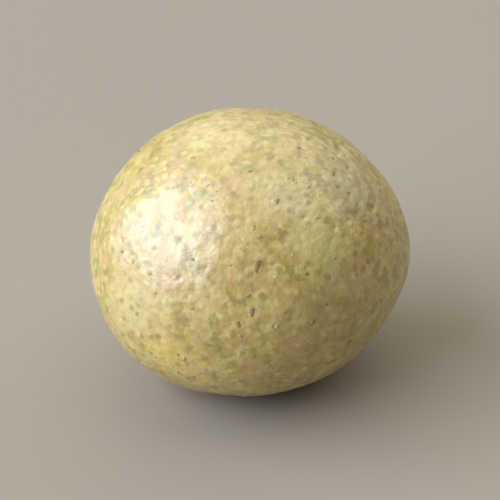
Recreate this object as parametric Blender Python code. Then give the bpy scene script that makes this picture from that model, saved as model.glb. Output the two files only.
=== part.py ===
"""A foxtail millet ladoo: a sweet of roasted millet flour, sugar and ghee, pressed and rolled by hand
into a ball a little wider than it is tall. It is one solid: the ball with its palm marks, the broken
grains that stand out of its skin, and the small flat spot on which it has settled.

The frame has +Z up, +X to the right and +Y away from the viewer. The origin is on the surface that the
ball stands on, under the middle of its box. Lengths are in metres.
"""

import math
import random

import bmesh
import bpy
from mathutils import Matrix, Vector, noise

MM = 0.001

# The whole ball, as it stands
WIDTH = 40.0 * MM
DEPTH = 37.5 * MM
HEIGHT = 34.5 * MM
REST_CUT = 0.6 * MM  # how much of the round underside has settled flat

# Marks left by the palms. Each is a place on the ball, how far the mark reaches and how high it is:
# azimuth from the front towards the right, elevation, reach in degrees, height in metres.
# A negative height is a patch pressed flat, and a positive one is dough that has swelled out.
HAND_MARKS = (
    (113, 33, 28, -0.65 * MM),  # upper right, pressed by the other palm
    (-107, 25, 28, -0.50 * MM),  # upper left
    (-54, -42, 30, 0.70 * MM),  # lower left, swelled out
    (40, 12, 24, 0.25 * MM),
    (15, 78, 30, -0.30 * MM),
    (170, 5, 30, -0.55 * MM),
    (-150, -25, 28, 0.40 * MM),
    (70, -29, 27, -0.60 * MM),  # lower right
)

# Soft lumps of the dough between the palm marks
LUMP_SPAN = 9.0 * MM
LUMP_HEIGHT = 0.22 * MM
LUMP_OCTAVES = 3
LUMP_FALL = 0.9  # how fast the finer octaves die away
LUMP_SHIFT = Vector((4.1, 7.3, 2.6))  # which part of the noise the ball sits in

# Broken grains that stand out of the skin
GRAINS = 180
GRAIN_SEED = 7
CORNER_SEED = 8
GRAIN_LENGTHS = (0.6 * MM, 1.3 * MM)
GRAIN_SHAPE = Vector((1.0, 0.76, 0.62))  # length, width and thickness
GRAIN_OUT = 0.32  # share of the thickness that stands out of the skin
GRAIN_CHIPPED = 0.12  # how far a corner may be off the smooth oval
GRAIN_STRAY = 0.07  # how far a grain strays from the even spiral, as a share of the radius
GRAIN_LEAST_Z = 1.6 * MM  # no grain under this height, where the ball has been pressed flat

BALL_CUTS = 5  # rounds of subdivision of the icosahedron behind the ball
GRAIN_CUTS = 1
SHARP_EDGE = math.radians(40)  # edges sharper than this, round the flat spot and the grains, stay crisp
GOLDEN_TURN = math.pi * (3 - math.sqrt(5))


def clear_scene():
    for thing in list(bpy.data.objects):
        bpy.data.objects.remove(thing)


def millet_dough():
    """Pressed millet flour and ghee: pale straw yellow with a soft, greasy sheen."""
    dough = bpy.data.materials.new("millet_dough")
    dough.use_nodes = True
    finish = dough.node_tree.nodes["Principled BSDF"].inputs
    finish["Base Color"].default_value = (0.62, 0.50, 0.22, 1)
    finish["Roughness"].default_value = 0.55
    finish["Metallic"].default_value = 0
    return dough


def way_to(azimuth, elevation):
    """The unit vector from the ball's middle to a place on it. Azimuth 0 faces the front."""
    turn, rise = math.radians(azimuth), math.radians(elevation)
    return Vector(
        (math.sin(turn) * math.cos(rise), -math.cos(turn) * math.cos(rise), math.sin(rise))
    )


def hand_mark_height(way):
    """How far the palm marks move the skin outwards in the direction of way."""
    height = 0.0
    for azimuth, elevation, reach, mark_height in HAND_MARKS:
        away = way.angle(way_to(azimuth, elevation)) / math.radians(reach)
        height += mark_height * math.exp(-(away**2))
    return height


def lump_height(place):
    return LUMP_HEIGHT * noise.fractal(place / LUMP_SPAN + LUMP_SHIFT, LUMP_FALL, 2.0, LUMP_OCTAVES)


def rolled_ball():
    """The ball before it settles, round its own middle."""
    shape = bmesh.new()
    bmesh.ops.create_icosphere(shape, subdivisions=BALL_CUTS, radius=1.0)
    half = Vector((WIDTH, DEPTH, HEIGHT + REST_CUT)) / 2
    for vertex in shape.verts:
        way = vertex.co.normalized()
        place = way * half
        vertex.co = place + way * (hand_mark_height(way) + lump_height(place))
    return shape


def box_of(shape):
    """Lowest and highest corner of a bmesh."""
    low = Vector([min(vertex.co[axis] for vertex in shape.verts) for axis in range(3)])
    high = Vector([max(vertex.co[axis] for vertex in shape.verts) for axis in range(3)])
    return low, high


def settle(shape):
    """Cuts the small flat spot under the ball and closes it."""
    low, _ = box_of(shape)
    everything = shape.verts[:] + shape.edges[:] + shape.faces[:]
    cut = bmesh.ops.bisect_plane(
        shape,
        geom=everything,
        plane_co=(0, 0, low.z + REST_CUT),
        plane_no=(0, 0, 1),
        clear_inner=True,
    )
    rim = [part for part in cut["geom_cut"] if isinstance(part, bmesh.types.BMEdge)]
    bmesh.ops.contextual_create(shape, geom=rim)


def stand_at_size(shape):
    """Gives the ball its named width, depth and height, and stands it on the origin."""
    low, high = box_of(shape)
    size = high - low
    under = Vector(((low.x + high.x) / 2, (low.y + high.y) / 2, low.z))
    bmesh.ops.translate(shape, verts=shape.verts, vec=-under)
    bmesh.ops.scale(shape, verts=shape.verts, vec=(WIDTH / size.x, DEPTH / size.y, HEIGHT / size.z))


def ladoo_ball():
    shape = rolled_ball()
    settle(shape)
    stand_at_size(shape)
    bmesh.ops.recalc_face_normals(shape, faces=shape.faces)
    mesh = bpy.data.meshes.new("ladoo")
    shape.to_mesh(mesh)
    shape.free()
    ball = bpy.data.objects.new("ladoo", mesh)
    bpy.context.scene.collection.objects.link(ball)
    return ball


def strewn_grains():
    """The direction, length and turn of each grain: on a golden spiral, strayed, few large and many small."""
    draw = random.Random(GRAIN_SEED)
    smallest, largest = GRAIN_LENGTHS
    for number in range(GRAINS):
        rise = 1 - 2 * (number + 0.5) / GRAINS
        round_it = number * GOLDEN_TURN
        ring = math.sqrt(1 - rise**2)
        stray = Vector([draw.gauss(0, GRAIN_STRAY) for _ in range(3)])
        way = (Vector((ring * math.cos(round_it), ring * math.sin(round_it), rise)) + stray).normalized()
        length = smallest + (largest - smallest) * draw.random() ** 2
        yield way, length, draw.uniform(0, math.tau)


def add_grain(place, outwards, length, turn, corners, collection):
    """One broken grain, lying on the skin at place with most of it sunk in the dough."""
    grain = bmesh.new()
    bmesh.ops.create_icosphere(grain, subdivisions=GRAIN_CUTS, radius=0.5)
    for vertex in grain.verts:
        vertex.co *= 1 + corners.uniform(-GRAIN_CHIPPED, GRAIN_CHIPPED)
        vertex.co *= GRAIN_SHAPE * length
    turned = Matrix.Rotation(turn, 4, "Z")
    stood = outwards.to_track_quat("Z", "Y").to_matrix().to_4x4()
    sunk = (0.5 - GRAIN_OUT) * GRAIN_SHAPE.z * length
    mesh = bpy.data.meshes.new("grain")
    grain.transform(Matrix.Translation(place - outwards * sunk) @ stood @ turned)
    grain.to_mesh(mesh)
    grain.free()
    collection.objects.link(bpy.data.objects.new("grain", mesh))


def scatter_grains(ball, collection):
    """Strews the grains over the ball, clear of where it rests."""
    corners = random.Random(CORNER_SEED)
    middle = Vector((0, 0, HEIGHT / 2))
    bpy.context.view_layer.update()
    for way, length, turn in strewn_grains():
        _, place, outwards, _ = ball.ray_cast(middle, way)
        if place.z > GRAIN_LEAST_Z:
            add_grain(place, outwards, length, turn, corners, collection)


def fuse_grains(ball):
    """Joins the grains to the ball, so that the sweet is one solid."""
    grains = bpy.data.collections.new("grains")
    bpy.context.scene.collection.children.link(grains)
    scatter_grains(ball, grains)
    fused = ball.modifiers.new("fused grains", "BOOLEAN")
    fused.operation = "UNION"
    fused.operand_type = "COLLECTION"
    fused.collection = grains
    fused.solver = "EXACT"
    bpy.context.view_layer.objects.active = ball
    bpy.ops.object.modifier_apply(modifier=fused.name)
    for grain in list(grains.objects):
        bpy.data.objects.remove(grain)
    bpy.data.collections.remove(grains)


def centre_over_origin(ball):
    """The grains have moved the box a little, so its middle goes back over the origin."""
    corners = [Vector(corner) for corner in ball.bound_box]
    middle = sum(corners, Vector()) / len(corners)
    lowest = min(corner.z for corner in corners)
    ball.data.transform(Matrix.Translation((-middle.x, -middle.y, -lowest)))


def main():
    clear_scene()
    ball = ladoo_ball()
    fuse_grains(ball)
    centre_over_origin(ball)
    ball.data.materials.clear()
    ball.data.materials.append(millet_dough())
    ball.data.shade_smooth()
    ball.data.set_sharp_from_angle(angle=SHARP_EDGE)


main()
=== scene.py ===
# %% [markdown]
# # A foxtail millet ladoo
#
# A ladoo is a sweet of roasted millet flour, sugar and ghee, pressed in the palm and rolled into a ball.
# This lesson dresses the plain model of one: it gives the ball its crumb, strews the broken grains and the
# bran over it, mixes the colours of the dough, and lights it from a window on the left.
#
# The cells run from top to bottom. Lengths are in metres, +Z is up, +X is to the right and +Y points away
# from the viewer.

# %% Load the plain model
import math
import random

import bpy
import numpy as np
from mathutils import Matrix, Vector, noise
from mathutils.bvhtree import BVHTree


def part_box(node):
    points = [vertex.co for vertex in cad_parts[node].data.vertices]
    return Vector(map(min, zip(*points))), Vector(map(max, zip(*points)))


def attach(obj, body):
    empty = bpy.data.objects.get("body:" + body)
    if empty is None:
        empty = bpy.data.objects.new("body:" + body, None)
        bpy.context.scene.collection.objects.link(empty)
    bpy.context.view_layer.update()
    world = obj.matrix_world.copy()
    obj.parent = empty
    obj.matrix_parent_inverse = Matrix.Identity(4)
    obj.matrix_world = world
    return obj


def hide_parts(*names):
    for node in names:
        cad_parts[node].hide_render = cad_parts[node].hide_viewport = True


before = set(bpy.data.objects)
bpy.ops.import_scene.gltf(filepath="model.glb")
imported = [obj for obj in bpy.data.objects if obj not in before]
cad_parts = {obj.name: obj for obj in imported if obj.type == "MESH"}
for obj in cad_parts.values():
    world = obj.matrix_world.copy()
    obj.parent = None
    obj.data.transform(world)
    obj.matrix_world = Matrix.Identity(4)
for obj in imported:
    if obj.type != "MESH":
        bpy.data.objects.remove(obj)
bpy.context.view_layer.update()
MM = 0.001

plain_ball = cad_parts["ladoo"]
low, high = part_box("ladoo")
width, depth, height = high - low
middle = (low + high) / 2
print(f"the plain ball is {width / MM:.1f} by {depth / MM:.1f} by {height / MM:.1f} mm")

# %% [markdown]
# ## The camera
#
# The camera comes first, because every later choice is judged through it. The photograph looks down on
# the ball by about 31.5 degrees, through a lens so long that it hardly foreshortens the outline. A camera
# could be aimed with a Track To constraint, but a direction turned into a rotation is plainer, and leaves
# nothing live in the file.

# %% Aim the camera
LOOKING_DOWN = 31.5  # degrees
BALL_SHARE = 0.64  # how much of the picture's width the ball fills
LENS_MM = 135
SENSOR_MM = 36


def towards(azimuth, elevation):
    """A direction from the ball's middle: azimuth 0 is the front and 90 the right, in degrees."""
    turn, rise = math.radians(azimuth), math.radians(elevation)
    return Vector((math.sin(turn) * math.cos(rise), -math.cos(turn) * math.cos(rise), math.sin(rise)))


towards_camera = towards(0, LOOKING_DOWN)
camera_right = Vector((1, 0, 0))
camera_up = towards_camera.cross(camera_right)
shown_width = width / BALL_SHARE
camera_distance = shown_width * LENS_MM / SENSOR_MM

bpy.ops.object.camera_add(location=middle + towards_camera * camera_distance)
camera = bpy.context.object
camera.data.lens = LENS_MM
camera.data.sensor_width = SENSOR_MM
camera.data.clip_start = camera_distance / 20
camera.data.clip_end = camera_distance * 40
camera.rotation_euler = (-towards_camera).to_track_quat("-Z", "Y").to_euler()
bpy.context.scene.camera = camera
print(f"the camera stands {camera_distance:.3f} m away")

# %% [markdown]
# ## The ball of dough
#
# The real surface is not smooth: flour and sugar pressed by hand leave a fine crumb, with soft granules of
# about a millimetre, shallow dimples where fingers slid, and here and there a pit where a crumb has dropped
# out. A bump map would look right from straight in front, but the outline would stay as smooth as a marble,
# so the crumb is real geometry.
#
# Each step of an icosphere makes four times as many triangles, and leaves no choice between. So the start
# is a cube: its faces are cut into a fine grid, pushed out to a sphere, and wrapped on to the plain model,
# which brings the palm marks and the flat spot.

# %% Wrap a fine grid of faces on the plain ball
FIRST_CUTS = 3
SECOND_CUTS = 30  # the operator makes at most 100 cuts at once, so the grid is cut twice


def only(*objects):
    """Selects these objects and no others, and makes the first one active."""
    bpy.ops.object.select_all(action="DESELECT")
    for thing in objects:
        thing.select_set(True)
    bpy.context.view_layer.objects.active = objects[0]


def finish_with(piece, kind, **settings):
    """Adds one modifier with these settings to a piece and applies it."""
    modifier = piece.modifiers.new(kind.lower(), kind)
    for name, value in settings.items():
        setattr(modifier, name, value)
    only(piece)
    bpy.ops.object.modifier_apply(modifier=modifier.name)


bpy.ops.object.select_all(action="DESELECT")
bpy.ops.mesh.primitive_cube_add(size=width, location=middle)
ball = bpy.context.object
ball.name = "ladoo_dough"
bpy.ops.object.mode_set(mode="EDIT")
bpy.ops.mesh.subdivide(number_cuts=FIRST_CUTS)
bpy.ops.mesh.subdivide(number_cuts=SECOND_CUTS)
bpy.ops.transform.tosphere(value=1)
bpy.ops.object.mode_set(mode="OBJECT")
only(ball)
bpy.ops.object.transform_apply(location=True, rotation=True, scale=True)
finish_with(
    ball,
    "SHRINKWRAP",
    target=plain_ball,
    wrap_method="PROJECT",
    use_negative_direction=True,
    use_positive_direction=False,
)
bpy.ops.object.shade_smooth()
print(f"the ball has {len(ball.data.polygons)} faces before its crumb")

# %% [markdown]
# The plain model has flat facets of more than a millimetre. A Smooth modifier relaxes the fine grid until
# they are gone, and leaves the palm marks, which are far wider than the facets.

# %% Smooth the facets away
SMOOTHING_ROUNDS = 30


def points_of(piece):
    places = np.empty(len(piece.data.vertices) * 3, np.float32)
    piece.data.vertices.foreach_get("co", places)
    return places.reshape(-1, 3)


def print_moved(piece, before, cause):
    moved = np.linalg.norm(points_of(piece) - before, axis=1) / MM
    print(f"{cause}: moved the skin by {moved.mean():.3f} mm, and by {moved.max():.3f} mm at most")


faceted = points_of(ball)
finish_with(ball, "SMOOTH", factor=0.5, iterations=SMOOTHING_ROUNDS)
print_moved(ball, faceted, "smoothing")

# %% [markdown]
# The crumb is built from four Displace modifiers, each with a small procedural texture. Clouds gives the
# uneven press of the palm, two cell patterns give packed granules of two sizes, and a last cell pattern
# with a ramp leaves only the dot at each cell's middle, which becomes a pit. Each is applied before the
# next, so that a later one pushes along the new slopes.

# %% Raise the crumb
DIMPLES = dict(span=2.9 * MM, height=0.17 * MM)
GRANULES = dict(span=1.25 * MM, height=0.06 * MM)
SMALL_GRANULES = dict(span=0.75 * MM, height=0.04 * MM)
PITS = dict(span=2.1 * MM, depth=0.12 * MM)
PIT_FLOOR, PIT_RIM = 0.06, 0.20  # how far from a cell's middle, as a share of the span


def cloud_texture(name, span):
    texture = bpy.data.textures.new(name, "CLOUDS")
    texture.noise_basis = "IMPROVED_PERLIN"
    texture.noise_scale = span
    texture.noise_depth = 1
    return texture


def cell_texture(name, span):
    texture = bpy.data.textures.new(name, "VORONOI")
    texture.noise_scale = span
    return texture


def push_out(piece, texture, strength, mid_level=0.5):
    """Moves the surface along its normals by the texture: 1 mm of strength is 1 mm from black to white."""
    before = points_of(piece)
    finish_with(
        piece, "DISPLACE", texture=texture, strength=strength, mid_level=mid_level, texture_coords="LOCAL"
    )
    print_moved(piece, before, texture.name)


push_out(ball, cloud_texture("dimples", DIMPLES["span"]), DIMPLES["height"])
push_out(ball, cell_texture("granules", GRANULES["span"]), -GRANULES["height"])
push_out(ball, cell_texture("small granules", SMALL_GRANULES["span"]), -SMALL_GRANULES["height"])

pits = cell_texture("pits", PITS["span"])
pits.use_color_ramp = True
pit_floor, pit_rim = pits.color_ramp.elements
pit_floor.position, pit_floor.color = PIT_FLOOR, (0, 0, 0, 1)
pit_rim.position, pit_rim.color = PIT_RIM, (1, 1, 1, 1)
push_out(ball, pits, PITS["depth"], mid_level=1)
bpy.ops.object.shade_smooth()
print(f"the crumbed ball is {ball.dimensions.x / MM:.1f} mm wide")

# %% [markdown]
# ## Broken grains and bran
#
# Whole millet is two millimetres long. Ground for a ladoo it breaks into chips of a millimetre and less,
# pale and waxy, and the husk leaves thin brown flakes. Each kind is modelled once, by hand: a small sphere
# pulled to shape, its corners knocked about and one end broken off.

# %% Model one chip of each kind
UNIT = 1.0 * MM  # chips are modelled one millimetre long, and copied smaller or larger
BROKEN_END = 0.34  # where the end is broken off, as a share of the length
BREAK_FACES = (1, 0.3, 0.2)  # the way the broken end faces, a little askew
CRISP_EDGE = math.radians(50)


def chip(name, shape, roughness, seed, corners=8):
    """A broken chip, one unit long."""
    bpy.ops.object.select_all(action="DESELECT")
    bpy.ops.mesh.primitive_uv_sphere_add(segments=corners, ring_count=corners // 2 + 1, radius=UNIT / 2)
    made = bpy.context.object
    made.name = name
    bpy.ops.object.mode_set(mode="EDIT")
    bpy.ops.transform.resize(value=shape)
    bpy.ops.transform.vertex_random(offset=roughness * UNIT, seed=seed)
    bpy.ops.mesh.bisect(
        plane_co=(BROKEN_END * UNIT, 0, 0), plane_no=BREAK_FACES, use_fill=True, clear_outer=True
    )
    bpy.ops.object.mode_set(mode="OBJECT")
    print(f"{name}: {len(made.data.polygons)} faces")
    return made


grain_chip = chip("grain_chip", (1.0, 0.76, 0.62), 0.05, seed=3)
crumb_chip = chip("crumb_chip", (1.0, 0.85, 0.75), 0.07, seed=2, corners=5)
husk_chip = chip("husk_chip", (1.0, 0.8, 0.45), 0.07, seed=8, corners=6)
bran_chip = chip("bran_chip", (1.0, 0.42, 0.20), 0.05, seed=5)

# %% [markdown]
# ### Where the chips lie
#
# Points drawn at random clump and leave gaps. Points on a golden spiral are spread as evenly as seeds in a
# sunflower, so each chip starts on the spiral and then strays a little. A ray from the ball's middle finds
# the skin there. Where the palm polished the dough the crumb is pressed in, and elsewhere it stands open, so
# a wide soft noise decides how deep the chips sink.

# %% Find places on the skin
GOLDEN_TURN = math.pi * (3 - math.sqrt(5))
POLISHED_SPAN = 6.0 * MM
POLISHED_PRESS = 0.08  # how much deeper, or less deep, a chip sinks, as a share of its length

skin = BVHTree.FromPolygons(
    [vertex.co.copy() for vertex in ball.data.vertices],
    [tuple(face.vertices) for face in ball.data.polygons],
)


def spiral_ways(count, stray, draw):
    """Directions from the ball's middle, evenly spread but for a little stray."""
    for number in range(count):
        rise = 1 - 2 * (number + 0.5) / count
        ring = math.sqrt(1 - rise**2)
        turn = number * GOLDEN_TURN
        wander = Vector([draw.gauss(0, stray) for _ in range(3)])
        yield (Vector((ring * math.cos(turn), ring * math.sin(turn), rise)) + wander).normalized()


def skin_at(way):
    """The place on the ball in this direction from its middle, and the way its skin faces there."""
    place, outwards, _, _ = skin.ray_cast(middle, way)
    return place, (outwards + way).normalized()


def skin_seen(right, above):
    """The same for the spot seen so many millimetres right of the ball's middle, and above it."""
    start = middle + (camera_right * right + camera_up * above) * MM + towards_camera * width
    return skin.ray_cast(start, -towards_camera)[:2]


def lying(place, outwards, length, turn, sunk):
    """The move that lays a chip of this length on the skin, with sunk, a share of its length, under it."""
    pressed = sunk + POLISHED_PRESS * noise.noise(place / POLISHED_SPAN)
    return (
        Matrix.Translation(place - outwards * pressed * length)
        @ outwards.to_track_quat("Z", "Y").to_matrix().to_4x4()
        @ Matrix.Rotation(turn, 4, "Z")
        @ Matrix.Scale(length / UNIT, 4)
    )


# %% [markdown]
# ### One mesh for each kind
#
# Thousands of objects would be slow, and a particle system leaves copies that are not mesh. So the points
# of the one chip are moved once for each place, and all of them go into one mesh. Each chip gets a number of
# its own, its tone, by which the material will shade it.

# %% Copy the chips into one mesh
def piece_of(name, master, moves, seed):
    """One mesh with a copy of the master chip for each move."""
    chip_points = np.hstack([points_of(master), np.ones((len(master.data.vertices), 1))])
    placed = np.einsum("mij,pj->mpi", np.array(moves), chip_points)[:, :, :3].reshape(-1, 3)
    chip_faces = [tuple(face.vertices) for face in master.data.polygons]
    starts = range(0, len(placed), len(chip_points))
    faces = [tuple(start + corner for corner in face) for start in starts for face in chip_faces]
    mesh = bpy.data.meshes.new(name)
    mesh.from_pydata(placed.tolist(), [], faces)
    mesh.shade_smooth()
    mesh.set_sharp_from_angle(angle=CRISP_EDGE)
    tones = np.random.default_rng(seed).random(len(moves))
    mesh.attributes.new("tone", "FLOAT", "POINT").data.foreach_set("value", tones.repeat(len(chip_points)))
    piece = bpy.data.objects.new(name, mesh)
    bpy.context.scene.collection.objects.link(piece)
    print(f"{name}: {len(moves)} chips, {len(faces)} faces")
    return piece


# %% [markdown]
# The largest grains already stand on the plain model, strewn by the same rule and the same seed, so the
# same draw puts each of them back on its own bump.

# %% Strew chips over the ball
REST_HEIGHT = 1.0 * MM  # no chip under this height, where the ball touches what it stands on
RAISED_REST_HEIGHT = 1.6 * MM  # the same for the raised grains
RAISED_GRAINS = dict(count=180, lengths=(0.6 * MM, 1.3 * MM), sunk=0.23, stray=0.07, seed=7)
BROKEN_GRAINS = dict(count=900, lengths=(0.32 * MM, 0.76 * MM), sunk=0.30, stray=0.05, seed=11)
DOUGH_CRUMBS = dict(count=7500, lengths=(0.26 * MM, 0.54 * MM), sunk=0.29, stray=0.03, seed=4)
HUSK_BITS = dict(count=320, lengths=(0.30 * MM, 0.66 * MM), sunk=0.19, stray=0.05, seed=21)


def strewn(count, lengths, sunk, stray, seed, least_height=REST_HEIGHT):
    """The moves that strew count chips over the ball, few long and many short."""
    draw = random.Random(seed)
    moves = []
    for way in spiral_ways(count, stray, draw):
        length = lengths[0] + (lengths[1] - lengths[0]) * draw.random() ** 2
        turn = draw.uniform(0, math.tau)
        place, outwards = skin_at(way)
        if place.z > least_height:
            moves.append(lying(place, outwards, length, turn, sunk))
    return moves


broken_grains = piece_of(
    "broken_grains",
    grain_chip,
    strewn(**RAISED_GRAINS, least_height=RAISED_REST_HEIGHT) + strewn(**BROKEN_GRAINS),
    seed=1,
)
dough_crumbs = piece_of("dough_crumbs", crumb_chip, strewn(**DOUGH_CRUMBS), seed=2)
husk_bits = piece_of("husk_bits", husk_chip, strewn(**HUSK_BITS), seed=3)

# %% [markdown]
# ### The flecks that show
#
# On the side that the photograph shows, some thirty soft dark specks of husk can be told apart, a few long
# flecks of bran, and some pale grains. Each is laid where it is seen: so far to the right of the ball's
# middle and so far above it, in millimetres, as the camera looks. The other sides get flecks of the same
# sizes, strewn at random.

# %% Lay the flecks that show
UPRIGHT = 90
LEVEL = 0
SEEN_BRAN = (
    # right, above, length, turn in degrees
    (0.9, -1.9, 2.2, 84),
    (0.3, -7.2, 1.6, UPRIGHT),
    (0.0, 9.2, 0.9, 20),
)
SEEN_SPECKS = (
    (9.8, 9.1, 1.3, 30),
    (9.9, 11.0, 0.8, LEVEL),
    (3.2, 5.7, 0.9, 60),
    (-1.3, -8.7, 1.2, 110),
    (-6.7, -6.9, 1.0, 10),
    (-6.6, -1.1, 0.8, 150),
    (-2.2, -1.8, 1.1, 20),
    (6.6, -2.8, 0.9, 140),
    (9.2, -3.2, 0.9, UPRIGHT),
    (12.5, -3.0, 1.2, 40),
    (13.9, -1.4, 0.9, 80),
    (15.2, 4.1, 0.9, 70),
    (12.6, 5.3, 0.9, LEVEL),
    (10.3, 7.5, 0.7, 100),
    (-15.2, -0.2, 0.8, 45),
    (-15.4, 4.9, 0.7, LEVEL),
    (-11.4, -9.5, 0.9, UPRIGHT),
    (-6.8, 10.9, 1.0, 20),
    (-12.6, 10.5, 0.7, 130),
    (-4.9, 7.5, 0.8, 75),
    (5.8, 12.1, 0.9, LEVEL),
    (7.3, -8.6, 1.1, 50),
    (8.9, -6.3, 0.9, 165),
    (11.9, -11.0, 1.0, 20),
    (3.8, -15.0, 0.9, LEVEL),
    (-0.7, -15.5, 0.9, 35),
    (-6.9, -15.3, 0.9, LEVEL),
    (15.8, -6.2, 1.0, 120),
    (-4.1, -4.8, 0.8, 60),
    (-0.2, -5.3, 1.0, 15),
    (1.1, 1.5, 0.7, 100),
    (-8.5, -12.5, 0.7, UPRIGHT),
)
SEEN_GRAINS = (
    (5.7, 16.9, 1.3, LEVEL),
    (9.0, 15.4, 0.8, 30),
    (0.4, 2.5, 0.9, 60),
    (6.8, 7.4, 0.9, LEVEL),
    (8.1, 6.4, 0.8, 70),
    (4.9, -0.7, 0.8, 20),
    (-2.5, -8.6, 0.9, 140),
    (-0.9, 10.6, 1.0, LEVEL),
    (1.1, 8.3, 0.8, 110),
)
BRAN_SUNK, SPECK_SUNK, GRAIN_SUNK = 0.05, 0.16, 0.25
UNSEEN_BRAN = dict(count=110, lengths=(0.4 * MM, 1.1 * MM), sunk=BRAN_SUNK, stray=0.12, seed=12)
TURNED_AWAY = 0.25  # a fleck whose way makes a smaller cosine with the camera's is out of sight


def laid_where_seen(rows, sunk):
    """The moves that lay one chip for each row, where the row says that it is seen."""
    moves = []
    for right, above, length, degrees in rows:
        place, outwards = skin_seen(right, above)
        moves.append(lying(place, outwards, length * MM, math.radians(degrees), sunk))
    return moves


unseen = [
    move
    for move in strewn(**UNSEEN_BRAN)
    if (move.translation - middle).normalized().dot(towards_camera) < TURNED_AWAY
]
bran_flakes = piece_of("bran_flakes", bran_chip, laid_where_seen(SEEN_BRAN, BRAN_SUNK) + unseen, seed=5)
seen_specks = piece_of("seen_specks", husk_chip, laid_where_seen(SEEN_SPECKS, SPECK_SUNK), seed=7)
seen_grains = piece_of("seen_grains", grain_chip, laid_where_seen(SEEN_GRAINS, GRAIN_SUNK), seed=6)
for strewn_piece, seen_piece in ((husk_bits, seen_specks), (broken_grains, seen_grains)):
    only(strewn_piece, seen_piece)
    bpy.ops.object.join()
for master in (grain_chip, crumb_chip, husk_chip, bran_chip):
    bpy.data.objects.remove(master)

# %% [markdown]
# ## The finish of the dough
#
# Up close the colour is a mix: cream where the sugar shows, straw where the ghee has soaked in, a touch of
# olive from the husk and of pinkish tan where the flour was roasted longest. Painting an image would fix one
# size of detail. Noise nodes on Object coordinates keep the pattern at its true size on every side.

# %% Helpers for materials
def new_material(name):
    material = bpy.data.materials.new(name)
    material.use_nodes = True
    return material, material.node_tree.nodes, material.node_tree.links


def set_finish(shader, finish):
    """Sets the sockets of the shader that are the same all over the surface."""
    for socket, value in finish.items():
        shader.inputs[socket].default_value = value


def give(piece, material):
    piece.data.materials.clear()
    piece.data.materials.append(material)
    print(f"{piece.name} takes {material.name}, mixed from {len(material.node_tree.nodes)} nodes")


def bump_node(nodes, links, relief, height, strength=1.0):
    """The slopes that this relief gives the surface, height high from black to white."""
    bump = nodes.new("ShaderNodeBump")
    set_finish(bump, {"Distance": height, "Strength": strength})
    links.new(relief, bump.inputs["Height"])
    return bump.outputs["Normal"]


def noise_node(nodes, links, place, span, detail=2.0, shift=(0, 0, 0)):
    """Noise with lumps about span across. shift moves the pattern, so that two of them differ."""
    mapping = nodes.new("ShaderNodeMapping")
    mapping.inputs["Location"].default_value = shift
    clouds = nodes.new("ShaderNodeTexNoise")
    clouds.inputs["Scale"].default_value = 1 / span
    clouds.inputs["Detail"].default_value = detail
    links.new(place, mapping.inputs["Vector"])
    links.new(mapping.outputs["Vector"], clouds.inputs["Vector"])
    return clouds.outputs["Fac"]


def cell_node(nodes, links, place, span, shift=(0, 0, 0)):
    """Cells about span across: the distance to the cell's middle, and a random number for each cell."""
    mapping = nodes.new("ShaderNodeMapping")
    mapping.inputs["Location"].default_value = shift
    cells = nodes.new("ShaderNodeTexVoronoi")
    cells.inputs["Scale"].default_value = 1 / span
    chance = nodes.new("ShaderNodeSeparateColor")
    links.new(place, mapping.inputs["Vector"])
    links.new(mapping.outputs["Vector"], cells.inputs["Vector"])
    links.new(cells.outputs["Color"], chance.inputs["Color"])
    return cells.outputs["Distance"], chance.outputs["Red"]


def fade(nodes, links, value, start, end, low_value=0.0, high_value=1.0):
    """Turns a value into a soft mask: low_value up to start, high_value from end on."""
    ranged = nodes.new("ShaderNodeMapRange")
    ranged.interpolation_type = "SMOOTHSTEP"
    for socket, number in zip(
        ("From Min", "From Max", "To Min", "To Max"), (start, end, low_value, high_value)
    ):
        ranged.inputs[socket].default_value = number
    links.new(value, ranged.inputs["Value"])
    return ranged.outputs["Result"]


def blend_in(nodes, links, below, colour, mask):
    """Lays a colour over another where the mask is white."""
    mix = nodes.new("ShaderNodeMix")
    mix.data_type = "RGBA"
    factor, first, second = mix.inputs[0], mix.inputs[6], mix.inputs[7]
    links.new(mask, factor)
    if isinstance(below, tuple):
        first.default_value = (*below, 1)
    else:
        links.new(below, first)
    second.default_value = (*colour, 1)
    return mix.outputs[2]


def maths(nodes, links, kind, one, other):
    """One Math node, such as MULTIPLY, on two sockets or numbers."""
    result = nodes.new("ShaderNodeMath")
    result.operation = kind
    for socket, value in zip(result.inputs, (one, other)):
        if isinstance(value, float):
            socket.default_value = value
        else:
            links.new(value, socket)
    return result.outputs["Value"]
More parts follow.
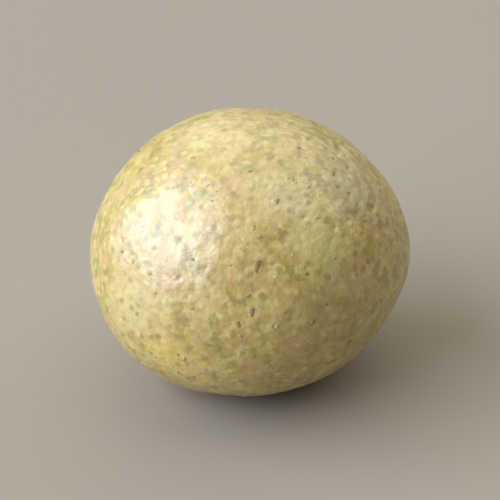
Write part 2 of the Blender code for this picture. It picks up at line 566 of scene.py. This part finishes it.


# %% [markdown]
# ### The colours of the dough
#
# Straw lies under everything. Cream, olive and tan are laid over it where a noise of their own is strong.
# Over these the photograph shows some wider patches, each laid where it is seen, as far as its reach:
# golden ones where the ghee has gathered, pinkish and olive ones, and paler ones. Some of them paint light
# and shade into the colour: dark brown painted shade low on the right, a honey colour brightened with
# painted bounce light low on the left, a painted sheen on the lower left rim, a greenish patch lightened
# with painted light right of the middle, and an olive patch darkened with painted shade high on the right.
# A noise frays their edges.
#
# Last come the granules of the flour, of two sizes: each is the middle of a cell, pale in some cells, dark
# in a few, and the colour of the dough in the rest. The crumbs on the skin take the same mix, so that they
# belong to the dough they stand on.

# %% Mix the dough
STRAW = (0.50, 0.375, 0.07)
CREAM = (0.63, 0.505, 0.155)
OLIVE = (0.365, 0.30, 0.06)
TAN = (0.59, 0.39, 0.14)
BRAN = (0.335, 0.24, 0.055)
PALE = (0.67, 0.565, 0.235)
GOLDEN = (0.55, 0.39, 0.05)
# A light greenish colour: the greenish tint of the dough, lightened with painted light.
GREENISH_AND_PAINTED_LIGHT = (0.62, 0.54, 0.18)
# A bright honey colour: partly the golden colour of the dough, partly painted bounce light.
HONEY_AND_PAINTED_LIGHT = (0.76, 0.56, 0.12)
# A dark brown that is painted shade, not a colour of the dough: it darkens the lower right side.
PAINTED_SHADE = (0.40, 0.28, 0.03)
CLOUDS = (
    # colour, span, detail, shift, where it starts and is full, strength
    (CREAM, 1.8 * MM, 3, (0, 0, 0), (0.40, 0.60), 1.0),
    (OLIVE, 1.6 * MM, 2, (3, 1, 2), (0.49, 0.63), 0.9),
    (TAN, 2.8 * MM, 3, (7, 5, 1), (0.49, 0.63), 0.65),
)
GRANULE = 1.1 * MM
FINE_GRANULE = 0.6 * MM
CELLS = (
    # span, shift, strength
    (GRANULE, (0, 0, 0), 0.74),
    (FINE_GRANULE, (4, 9, 2), 0.22),
)
CELL_MIDDLE = (0.15, 0.60)  # how far the colour of a cell reaches before it fades, and until it is gone
PALE_CELLS = (0.55, 0.85)  # from this chance on a cell is a little pale, and from this one wholly
DARK_CELLS = (0.12, 0.32)  # up to this chance a cell is wholly dark, and up to this one a little
PATCH_FRAY = 2.4 * MM
FRAY_SPAN = 1.4 * MM
PATCH_CORE, PATCH_EDGE = 0.3, 1.2  # where a patch starts to fade and is gone, as shares of its reach
SEEN_PATCHES = (
    # right, above, reach, colour, strength
    (-1.9, 7.1, 2.6, TAN, 0.6),
    (-9.8, -3.1, 3.2, TAN, 0.6),
    (-11.6, -8.0, 2.2, TAN, 0.5),
    (0.8, -3.6, 2.0, TAN, 0.5),
    (-0.1, 3.4, 3.2, GOLDEN, 0.5),
    (-2.4, 0.4, 2.6, GOLDEN, 0.5),
    # Honey colour and painted bounce light: this patch brightens the lower left.
    (-9.2, -13.2, 5.0, HONEY_AND_PAINTED_LIGHT, 0.8),
    # Painted sheen: this pale patch whitens the lower left rim.
    (-13.8, -6.6, 5.0, PALE, 0.7),
    # Painted shade: these two dark brown patches darken the lower right side.
    (4.6, -14.2, 6.0, PAINTED_SHADE, 0.6),
    (10.6, -8.4, 5.8, PAINTED_SHADE, 0.5),
    # Olive colour and painted shade: this patch darkens the upper right side.
    (12.2, 7.8, 4.4, OLIVE, 0.6),
    (6.0, -7.4, 2.6, OLIVE, 0.4),
    # Greenish colour and painted light: this patch lightens the surface right of the middle.
    (8.8, 0.2, 4.4, GREENISH_AND_PAINTED_LIGHT, 0.9),
    (3.8, 6.2, 4.6, PALE, 0.6),
    (-5.0, 14.0, 3.6, PALE, 0.4),
)


def seen_patch(nodes, links, place, fray, spot, reach, strength):
    """A mask that is white round the spot and fades out at its reach, with a frayed edge."""
    away = nodes.new("ShaderNodeVectorMath")
    away.operation = "DISTANCE"
    links.new(place, away.inputs[0])
    away.inputs[1].default_value = spot
    ragged = maths(nodes, links, "ADD", away.outputs["Value"], fray)
    return fade(nodes, links, ragged, PATCH_CORE * reach, PATCH_EDGE * reach, strength, 0.0)


def clouded(nodes, links, place, colour):
    """The colour with the clouds of the other colours laid over it."""
    for cloud_colour, span, detail, shift, (start, full), strength in CLOUDS:
        clouds = noise_node(nodes, links, place, span, detail, shift)
        colour = blend_in(
            nodes, links, colour, cloud_colour, fade(nodes, links, clouds, start, full, 0.0, strength)
        )
    return colour


def patched(nodes, links, place, colour):
    """The colour with the patches that are seen laid over it, some of them painted light and painted shade.
    """
    frayed = noise_node(nodes, links, place, FRAY_SPAN, 4, (2, 8, 6))
    fray = maths(nodes, links, "MULTIPLY", maths(nodes, links, "SUBTRACT", frayed, 0.5), 2 * PATCH_FRAY)
    for right, above, reach, patch_colour, strength in SEEN_PATCHES:
        spot, _ = skin_seen(right, above)
        mask = seen_patch(nodes, links, place, fray, spot, reach * MM, strength)
        colour = blend_in(nodes, links, colour, patch_colour, mask)
    return colour


def grained(nodes, links, place, colour):
    """The colour with the pale and the dark granules laid over it."""
    for span, shift, strength in CELLS:
        distance, chance = cell_node(nodes, links, place, span, shift)
        inside = fade(nodes, links, distance, *CELL_MIDDLE, strength, 0.0)
        pale = maths(nodes, links, "MULTIPLY", inside, fade(nodes, links, chance, *PALE_CELLS))
        colour = blend_in(nodes, links, colour, PALE, pale)
        dark = maths(nodes, links, "MULTIPLY", inside, fade(nodes, links, chance, *DARK_CELLS, 1.0, 0.0))
        colour = blend_in(nodes, links, colour, BRAN, dark)
    return colour


def dough_colour(nodes, links, place):
    colour = clouded(nodes, links, place, STRAW)
    colour = patched(nodes, links, place, colour)
    return grained(nodes, links, place, colour)


# %% [markdown]
# ### The sheen of the dough
#
# Ghee leaves a greasy film over a matt crumb. One layer of gloss can only be sharp or dull, so the shader
# gets both: a rough base, and a coat over it that is smoother and follows a softer bump, as a film of fat
# fills the smallest gaps. A little light also goes into the dough and comes out warmer.

# %% Give the dough its sheen
DOUGH_FINISH = {
    "Subsurface Weight": 0.2,
    "Subsurface Radius": (1.0, 0.62, 0.28),
    "Subsurface Scale": 0.7 * MM,
    "IOR": 1.5,
    "Coat Roughness": 0.37,
    "Coat IOR": 1.95,
}
DOUGH_FILM = 0.78
DOUGH_ROUGHNESS = (0.44, 0.62)
GREASY_SPAN = 3.0 * MM
GREASY_EDGE = (0.35, 0.65)  # where the noise turns from greasy to dry
FLOUR_SPAN = 0.25 * MM
CRUMB_HEIGHT = 0.055 * MM
FILM_HEIGHT = 0.02 * MM
RELIEF_STRENGTH = 0.7


def greasy_finish(nodes, links, place, colour, film):
    """film is how much of the surface the ghee covers."""
    shader = nodes["Principled BSDF"]
    links.new(colour, shader.inputs["Base Color"])
    greasy = noise_node(nodes, links, place, GREASY_SPAN, 3, (5, 5, 9))
    links.new(fade(nodes, links, greasy, *GREASY_EDGE, *DOUGH_ROUGHNESS), shader.inputs["Roughness"])

    relief = noise_node(nodes, links, place, FLOUR_SPAN, 2, (1, 1, 1))
    for span, shift, _ in CELLS:
        distance, _ = cell_node(nodes, links, place, span, shift)
        sloped = maths(nodes, links, "MULTIPLY", distance, span / FINE_GRANULE)
        relief = maths(nodes, links, "SUBTRACT", relief, sloped)
    for layer, height in (("Normal", CRUMB_HEIGHT), ("Coat Normal", FILM_HEIGHT)):
        links.new(bump_node(nodes, links, relief, height, RELIEF_STRENGTH), shader.inputs[layer])

    set_finish(shader, DOUGH_FINISH)
    shader.inputs["Coat Weight"].default_value = film


def dough_material():
    material, nodes, links = new_material("millet_dough")
    place = nodes.new("ShaderNodeTexCoord").outputs["Object"]
    greasy_finish(nodes, links, place, dough_colour(nodes, links, place), film=DOUGH_FILM)
    return material


give(ball, dough_material())

# %% [markdown]
# ## The finish of the chips
#
# No two chips have quite one colour. The crumbs are dough, each a little paler or browner than its
# neighbour by its tone. Grain, husk and bran run from a darker to a paler colour by theirs, with a little
# noise over that so that no chip is flat.

# %% Colour the chips
CRUMB_FILM = 0.3
PALE_TONES, PALER = (0.5, 1.0), 0.15  # the crumbs of these tones are this much paler than the dough
DARK_TONES, DARKER = (0.0, 0.4), 0.25
CHIP_FINISH = {
    "Subsurface Weight": 0.2,
    "Subsurface Radius": (1.0, 0.6, 0.3),
    "Subsurface Scale": 0.4 * MM,
    "Coat Weight": 0.2,
    "Coat Roughness": 0.4,
}
CHIP_RELIEF = 0.03 * MM
CHIP_KINDS = (
    # piece, material, darker, paler, roughness, span of the mottling
    (broken_grains, "broken_millet", (0.45, 0.35, 0.11), (0.60, 0.50, 0.22), 0.5, 0.3 * MM),
    (husk_bits, "millet_husk", (0.29, 0.22, 0.075), (0.42, 0.33, 0.11), 0.6, 0.2 * MM),
    (bran_flakes, "millet_bran", (0.20, 0.135, 0.05), (0.31, 0.22, 0.08), 0.6, 0.2 * MM),
)


def tone_node(nodes):
    """The chip's own number."""
    tone = nodes.new("ShaderNodeAttribute")
    tone.attribute_name = "tone"
    return tone.outputs["Fac"]


def crumb_material():
    material, nodes, links = new_material("dough_crumb")
    place = nodes.new("ShaderNodeTexCoord").outputs["Object"]
    tone = tone_node(nodes)
    colour = dough_colour(nodes, links, place)
    colour = blend_in(nodes, links, colour, PALE, fade(nodes, links, tone, *PALE_TONES, 0.0, PALER))
    colour = blend_in(nodes, links, colour, OLIVE, fade(nodes, links, tone, *DARK_TONES, DARKER, 0.0))
    greasy_finish(nodes, links, place, colour, film=CRUMB_FILM)
    return material


def chip_material(name, darker, paler, roughness, mottle_span):
    material, nodes, links = new_material(name)
    shader = nodes["Principled BSDF"]
    place = nodes.new("ShaderNodeTexCoord").outputs["Object"]
    shades = nodes.new("ShaderNodeMix")
    shades.data_type = "RGBA"
    shades.inputs[6].default_value = (*darker, 1)
    shades.inputs[7].default_value = (*paler, 1)
    links.new(tone_node(nodes), shades.inputs[0])
    mottle = noise_node(nodes, links, place, mottle_span, 3)
    colour = blend_in(nodes, links, shades.outputs[2], darker, fade(nodes, links, mottle, 0.45, 0.7, 0, 0.6))
    links.new(colour, shader.inputs["Base Color"])
    uneven = fade(nodes, links, mottle, 0.3, 0.7, roughness - 0.1, roughness + 0.1)
    links.new(uneven, shader.inputs["Roughness"])
    links.new(bump_node(nodes, links, mottle, CHIP_RELIEF), shader.inputs["Normal"])
    set_finish(shader, CHIP_FINISH)
    return material


give(dough_crumbs, crumb_material())
for piece, *kind in CHIP_KINDS:
    give(piece, chip_material(*kind))

# %% [markdown]
# ## Tying the pieces to the model
#
# All the pieces ride on the one body of the model. The crumbed ball stands for the plain one.

# %% Tie the pieces
for piece, slot in (
    (ball, "dough"),
    (dough_crumbs, "dough"),
    (broken_grains, "grain"),
    (husk_bits, "bran"),
    (bran_flakes, "bran"),
):
    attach(piece, "root")
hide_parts("ladoo")
print("five pieces ride on the root")

# %% [markdown]
# ## Floor and light
#
# The floor is plain, pale and matt, so that it throws no glare when it is seen from low down. The
# photograph is lit by one large window on the left, a little above the ball, which shows as a wide white
# patch on the greasy skin, so a large area light hangs there. The far rim of the ball is paler too, which
# takes a weaker light from behind and above, and a faint one from overhead fills the middle. Almost nothing
# reaches the lower right side. Lamps as small as bulbs would give a hard spark on every crumb, and the
# photograph has none.

# %% Lay the floor
FLOOR_SIZE = 6.0
FLOOR_FINISH = {"Base Color": (0.345, 0.31, 0.235, 1), "Roughness": 1.0, "Specular IOR Level": 0.1}
bpy.ops.object.select_all(action="DESELECT")
bpy.ops.mesh.primitive_plane_add(size=FLOOR_SIZE, location=(0, 0, 0))
floor = bpy.context.object
floor.name = "floor"
floor_paint, floor_nodes, _ = new_material("floor_paint")
set_finish(floor_nodes["Principled BSDF"], FLOOR_FINISH)
floor.data.materials.append(floor_paint)
print(f"the floor is {FLOOR_SIZE} m wide")


# %% Hang the lights
def area_light(name, way, distance, size, watts, colour):
    """A soft light, size wide and high, that hangs in this direction from the ball and faces it."""
    bpy.ops.object.light_add(type="AREA", location=middle + way * distance)
    light = bpy.context.object
    light.name = name
    light.data.shape = "RECTANGLE"
    light.data.size, light.data.size_y = size
    light.data.energy = watts
    light.data.color = colour
    light.rotation_euler = (-way).to_track_quat("-Z", "Y").to_euler()
    print(f"{name}: {watts} W, {distance} m away")


area_light("window", towards(-74, 27), 2.5, (3.4, 3.1), 145, (0.92, 0.99, 1.25))
area_light("backdrop", towards(158, 56), 2.7, (6.0, 4.8), 102, (1.0, 0.98, 0.94))
area_light("ceiling", towards(-5, 68), 2.7, (3.0, 3.0), 10, (1.0, 0.98, 0.94))

world = bpy.data.worlds.new("studio")
bpy.context.scene.world = world
world.use_nodes = True
set_finish(world.node_tree.nodes["Background"], {"Color": (1.0, 0.98, 0.95, 1), "Strength": 0.04})
bpy.context.scene.view_settings.view_transform = "Standard"
